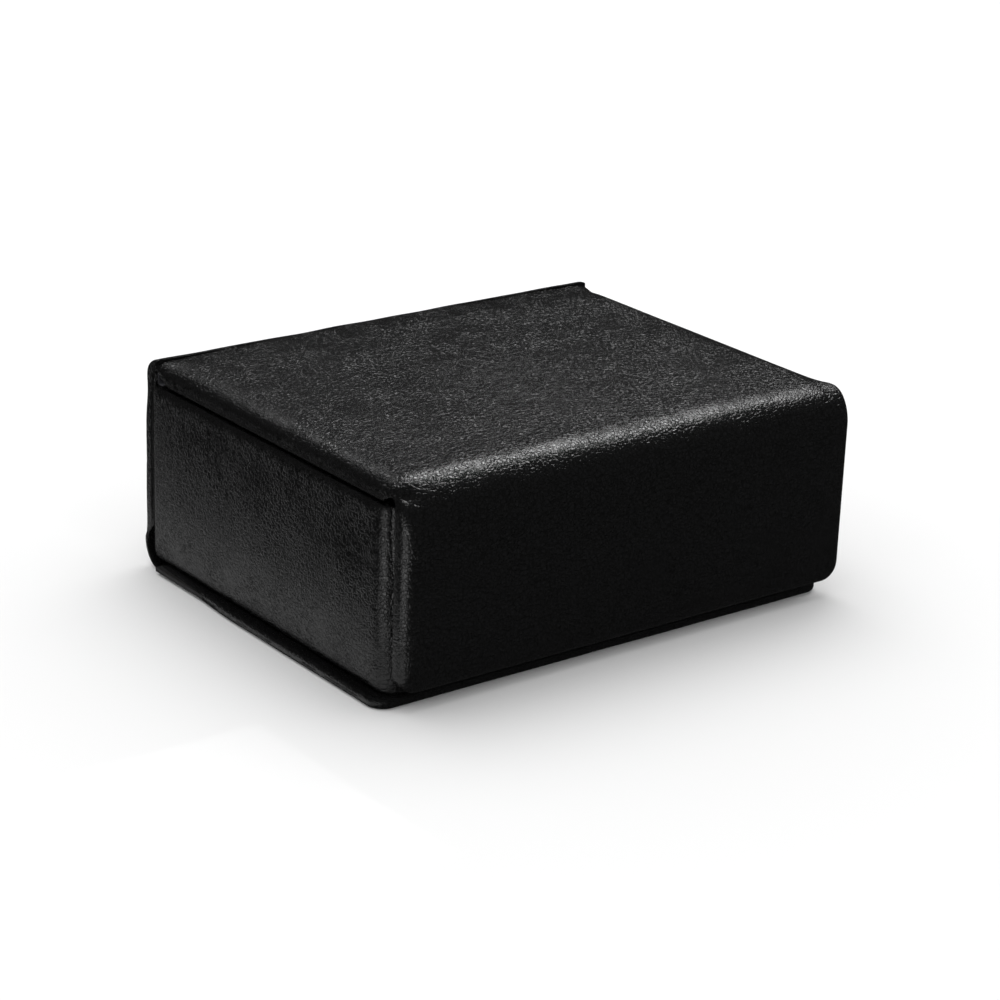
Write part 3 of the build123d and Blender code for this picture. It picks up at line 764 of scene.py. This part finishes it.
for number in range(roll_count):
    roll_low = rolls_low.y - roll_overhang + number * roll_pitch + roll_gap / 2
    roll_high = roll_low + roll_pitch - roll_gap
    section, inward = upright_outline((roll_low, rolls_low.z), (roll_high, rolls_high.z), roll_radius)
    places = rolls_low.x + stations(rolls_high.x - rolls_low.x, 0.7 * MM, roll_end, roll_end)
    from_end = np.minimum(places - places[0], places[-1] - places)
    spots = np.stack(np.broadcast_arrays(places[:, None], section[None, :, 0], section[None, :, 1]), -1)
    sunk = end_rolled(places, roll_end)[:, None] + 0.12 * MM * swell(spots, 9 * MM, 51 + number)
    sunk = sunk + 0.04 * MM * swell(spots * (0.3, 1, 1), 2.6 * MM, 61 + number)
    on_top = ease(section[:, 1], rolls_high.z - 6 * MM, rolls_high.z)[None]
    sunk = sunk - 0.35 * MM * on_top * ease(from_end, 0, 12 * MM)[:, None]
    ring = section[None] + inward[None] * sunk[..., None]
    ring[..., 1] = np.maximum(ring[..., 1], rolls_low.z)
    along = np.broadcast_to(places[:, None], ring.shape[:2])
    points = np.stack([along, ring[..., 0], ring[..., 1]], -1)
    ring_roll = grid_mesh(f"ring_roll_{number + 1}", points[::-1], around=True, capped=True)
    finish_piece(ring_roll, suede, "box", ["ring_roll_covers", "ring_roll_cores"])


# ---- Lid, fold and flap linings ---------------------------------------------------------------
# A thin suede cushion is glued under the lid. A strip of nappa lines the fold and a panel of
# nappa the flap's back, over the steel plates. A strip of suede closes the gap at the hinge.

liner_low, liner_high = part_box("lid_lining")
liner_height = liner_low.z - 0.12 * MM
liner_corner = 2.0 * MM


def liner_relief(place, side, inset):
    """The thin cushion's crown, and unevenness that fades at its edges."""
    crown = 0.55 * MM * ease(inset, 3 * MM, 16 * MM)
    return crown + 0.04 * MM * ripple(place, side, 10 * MM, 71) * ease(inset, 0, 8 * MM)


lid_lining_pad = lining_strip(
    "lid_lining_pad",
    straight_runs((liner_low.y + 1.2 * MM, liner_height), (liner_high.y - 1.0 * MM, liner_height)),
    0.7 * MM, corners=(liner_corner, liner_corner), low=liner_low.x, high=liner_high.x,
    thickness=liner_high.z - liner_height, roll=1.2 * MM, drop=0.4 * MM, curl=0.1 * MM, columns=100,
    relief=liner_relief)
finish_piece(lid_lining_pad, suede, "lid", ["lid_lining"])

panel_low, panel_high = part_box("flap_lining")
panel_face = panel_high.y + 0.12 * MM
flap_lining_panel = lining_strip(
    "flap_lining_panel", straight_runs((panel_face, panel_low.z), (panel_face, panel_high.z)),
    0.7 * MM, corners=(liner_corner, 0), low=panel_low.x, high=panel_high.x, thickness=0.62 * MM,
    roll=0.3 * MM, drop=0.1 * MM, curl=0.05 * MM, columns=90)
finish_piece(flap_lining_panel, nappa, "flap", ["flap_lining"])

fold_turn = 4.15 * MM
fold_liner_route = soften(np.vstack([
    straight((panel_face - 0.1 * MM, panel_high.z - 1.2 * MM),
             (lid_front - fold_turn, panel_high.z + 0.6 * MM)),
    bend((lid_front, panel_high.z), fold_turn, 172, 100),
    straight_runs((lid_front - 0.6 * MM, panel_high.z + fold_turn),
                  (lid_front + 0.5 * MM, panel_high.z + 3.7 * MM),
                  (lid_front + 0.9 * MM, liner_low.z),
                  (lid_front + 2.4 * MM, liner_low.z - 0.1 * MM))]), 4)
fold_lining_strip = lining_strip(
    "fold_lining_strip", fold_liner_route, 0.3 * MM, low=panel_low.x, high=panel_high.x,
    thickness=0.5 * MM, roll=0.3 * MM, drop=0.1 * MM, curl=0.05 * MM, columns=90)
finish_piece(fold_lining_strip, nappa, replaces=["fold_lining"])
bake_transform(fold_lining_strip)

hinge_liner_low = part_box("rear_hinge_lining")[0]
hinge_liner_height = hinge_liner_low.z + 0.05 * MM
hinge_liner_route = soften(straight_runs(
    (hinge_liner_low.y + 0.1 * MM, hinge_liner_height), (lid_rear - 0.1 * MM, hinge_liner_height),
    (lid_rear + 0.15 * MM, hinge_liner_low.z + 0.5 * MM),
    (lid_rear + 0.1 * MM, lid_high.z - 1.6 * MM)), 3)
hinge_lining_strip = lining_strip(
    "hinge_lining_strip", hinge_liner_route, 0.25 * MM, low=spine_low.x + 0.5 * MM, high=rim_high.x,
    thickness=0.2 * MM, roll=0.2 * MM, drop=0.05 * MM, curl=0.05 * MM, columns=90)
finish_piece(hinge_lining_strip, suede, replaces=["rear_hinge_lining"])
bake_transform(hinge_lining_strip)


# ---- Magnets and plates ------------------------------------------------------------------------
# Two nickel-plated disc magnets sit in the tray's front board, behind the leather. They pull on
# two steel plates let into the flap's board and hold the flap shut.

def metal(name, colour, roughness, grain_size, stretch):
    """Plated or rolled metal: one colour with faint cloudiness and fine scratches."""
    maker = Maker(name)
    cloud = maker.noise(4 * MM, detail=3.0)
    lines = maker.noise(grain_size, detail=3.0, stretch=stretch)
    tone = maker.sum((cloud, "Fac"), (lines, "Fac"), 0.5)
    dark = tuple(0.82 * part for part in colour) + (1,)
    maker.tint(tone, "Value", (0.4, dark), (1.0, tuple(colour) + (1,)))
    maker.relief(lines, "Fac", 0.004 * MM)
    worn = maker.blend(tone, "Value", 0.4, 1.1, roughness, roughness + 0.15)
    maker.wire(worn, "Result", maker.shader, "Roughness")
    maker.shader.inputs["Metallic"].default_value = 1.0
    return maker.material


dress("wall_magnets", metal("nickel_plate", (0.66, 0.63, 0.58), 0.22, 0.6 * MM, (1, 1, 1)))
dress("flap_plates", metal("rolled_steel", (0.52, 0.52, 0.53), 0.34, 0.25 * MM, (0.05, 1, 1)))


# ---- Floor, light and camera ----------------------------------------------------------------
# The box stands on a white floor under a soft even light, with painted shade darkening the floor around
# it. Three softboxes behind it glint on the lid and its edges, and low cards lighten its left side and
# its front left corner.

def white_paint():
    """Plain white paint with a faint uneven tone, and painted shade that darkens it around the box in the
    middle of the floor.
    """
    maker = Maker("white_floor")
    tone = maker.noise(60 * MM, detail=2.0)
    distance = maker.add("ShaderNodeVectorMath", {"operation": "LENGTH"})
    maker.wire(maker.place, "Object", distance, 0)
    # Painted shade: the floor is darker within about 70 mm of the box's middle and pales out by 260 mm.
    painted_shade_falloff = maker.blend(distance, "Value", 70 * MM, 260 * MM, 0.0, 1.0)
    tone_and_painted_shade = maker.sum((painted_shade_falloff, "Result"), (tone, "Fac"), 0.03)
    maker.tint(tone_and_painted_shade, "Value", (0.0, grey(0.79)), (1.0, grey(0.86)))
    maker.shader.inputs["Roughness"].default_value = 0.9
    maker.shader.inputs["Specular IOR Level"].default_value = 0.1
    return maker.material


def flat_panel(name, low, high, height):
    """A level rectangle between two corners."""
    corners = [(low[0], low[1], height), (high[0], low[1], height),
               (high[0], high[1], height), (low[0], high[1], height)]
    mesh = bpy.data.meshes.new(name)
    mesh.from_pydata(corners, [], [(0, 1, 2, 3)])
    panel = bpy.data.objects.new(name, mesh)
    bpy.context.scene.collection.objects.link(panel)
    return panel


def softbox(name, bearing, height, size, radiance, glossy=True, diffuse=False, away=0.8):
    """Rectangular light at a bearing and height in degrees, facing the box. Its power follows
    from its radiance and its area."""
    flat = away * math.cos(math.radians(height))
    place = Vector((flat * math.cos(math.radians(bearing)), flat * math.sin(math.radians(bearing)),
                    away * math.sin(math.radians(height)) + 0.03))
    data = bpy.data.lights.new(name, "AREA")
    data.shape = "RECTANGLE"
    data.size, data.size_y = size
    data.energy = radiance * math.pi * size[0] * size[1]
    light = bpy.data.objects.new(name, data)
    light.location = place
    light.rotation_euler = (Vector((0, 0, 0.03)) - place).to_track_quat("-Z", "Y").to_euler()
    light.visible_glossy = glossy
    light.visible_diffuse = diffuse
    bpy.context.scene.collection.objects.link(light)
    return light


def glow_card(name, low, high, near, fade, strength):
    """Level card seen only in reflections. It glows most up to the distance near from the box's
    middle line and fades out at the distance fade."""
    card = flat_panel(name, low, high, 0.3 * MM)
    material = bpy.data.materials.new(name)
    material.use_nodes = True
    tree = material.node_tree
    tree.nodes.clear()
    output = tree.nodes.new("ShaderNodeOutputMaterial")
    glow = tree.nodes.new("ShaderNodeEmission")
    place = tree.nodes.new("ShaderNodeTexCoord")
    split = tree.nodes.new("ShaderNodeSeparateXYZ")
    level = tree.nodes.new("ShaderNodeMapRange")
    for socket, value in (("From Min", near), ("From Max", fade), ("To Min", strength), ("To Max", 0)):
        level.inputs[socket].default_value = value
    tree.links.new(place.outputs["Object"], split.inputs["Vector"])
    tree.links.new(split.outputs["X"], level.inputs["Value"])
    tree.links.new(level.outputs["Result"], glow.inputs["Strength"])
    tree.links.new(glow.outputs["Emission"], output.inputs["Surface"])
    card.data.materials.append(material)
    card.visible_camera = False
    card.visible_diffuse = False
    card.visible_shadow = False
    return card


floor_reach = 4.0
floor = flat_panel("floor", (-floor_reach, -floor_reach), (floor_reach, floor_reach), 0)
floor.data.materials.append(white_paint())
floor.visible_glossy = False

softbox("floor_light", 60, 72, (0.8, 0.8), 2.2, glossy=False, diffuse=True)
softbox("fold_softbox", 30, 51, (0.44, 0.15), 13.5)
softbox("lid_edge_softbox", 80, 41, (0.18, 0.14), 3.0)
softbox("horizon_softbox", 76, 22, (0.14, 0.12), 0.45)
glow_card("left_card", (-0.24, -0.060), (-0.0515, 0.30), -0.056, -0.074, 0.58)
glow_card("front_left_card", (-0.40, -0.085), (-0.070, -0.03), -0.10, -0.40, 3.0)

world = bpy.data.worlds.new("studio")
bpy.context.scene.world = world
world.use_nodes = True
sky = world.node_tree.nodes["Background"]
rays = world.node_tree.nodes.new("ShaderNodeLightPath")
dimmed = world.node_tree.nodes.new("ShaderNodeMapRange")
dimmed.inputs["To Min"].default_value = 0.86
dimmed.inputs["To Max"].default_value = 0.025
lit = world.node_tree.nodes.new("ShaderNodeMath")
lit.operation = "MAXIMUM"
world.node_tree.links.new(rays.outputs["Is Glossy Ray"], dimmed.inputs["Value"])
world.node_tree.links.new(dimmed.outputs["Result"], lit.inputs[0])
world.node_tree.links.new(rays.outputs["Is Camera Ray"], lit.inputs[1])
world.node_tree.links.new(lit.outputs["Value"], sky.inputs["Strength"])
sky.inputs["Color"].default_value = (1, 1, 1, 1)

azimuth, elevation, tilt = (math.radians(angle) for angle in (-37.83, 20.68, 2.13))
distance = 549.77 * MM
slide_right, slide_up = -1.23 * MM, -14.54 * MM
camera_target = Vector((1.35 * MM, 0, 0))
back = Vector((math.sin(azimuth) * math.cos(elevation), -math.cos(azimuth) * math.cos(elevation),
               math.sin(elevation)))
level_right = (-back).cross(Vector((0, 0, 1))).normalized()
level_up = level_right.cross(-back)
right = level_right * math.cos(tilt) + level_up * math.sin(tilt)
up = level_up * math.cos(tilt) - level_right * math.sin(tilt)
view = Matrix((right, up, back)).transposed().to_4x4()
view.translation = camera_target + back * distance - right * slide_right - up * slide_up
camera_data = bpy.data.cameras.new("camera")
camera_data.sensor_width = 36
camera_data.lens = 105.94
camera_data.clip_start = 0.01
camera = bpy.data.objects.new("camera", camera_data)
camera.matrix_world = view
bpy.context.scene.collection.objects.link(camera)
bpy.context.scene.camera = camera
bpy.context.scene.view_settings.view_transform = "Standard"
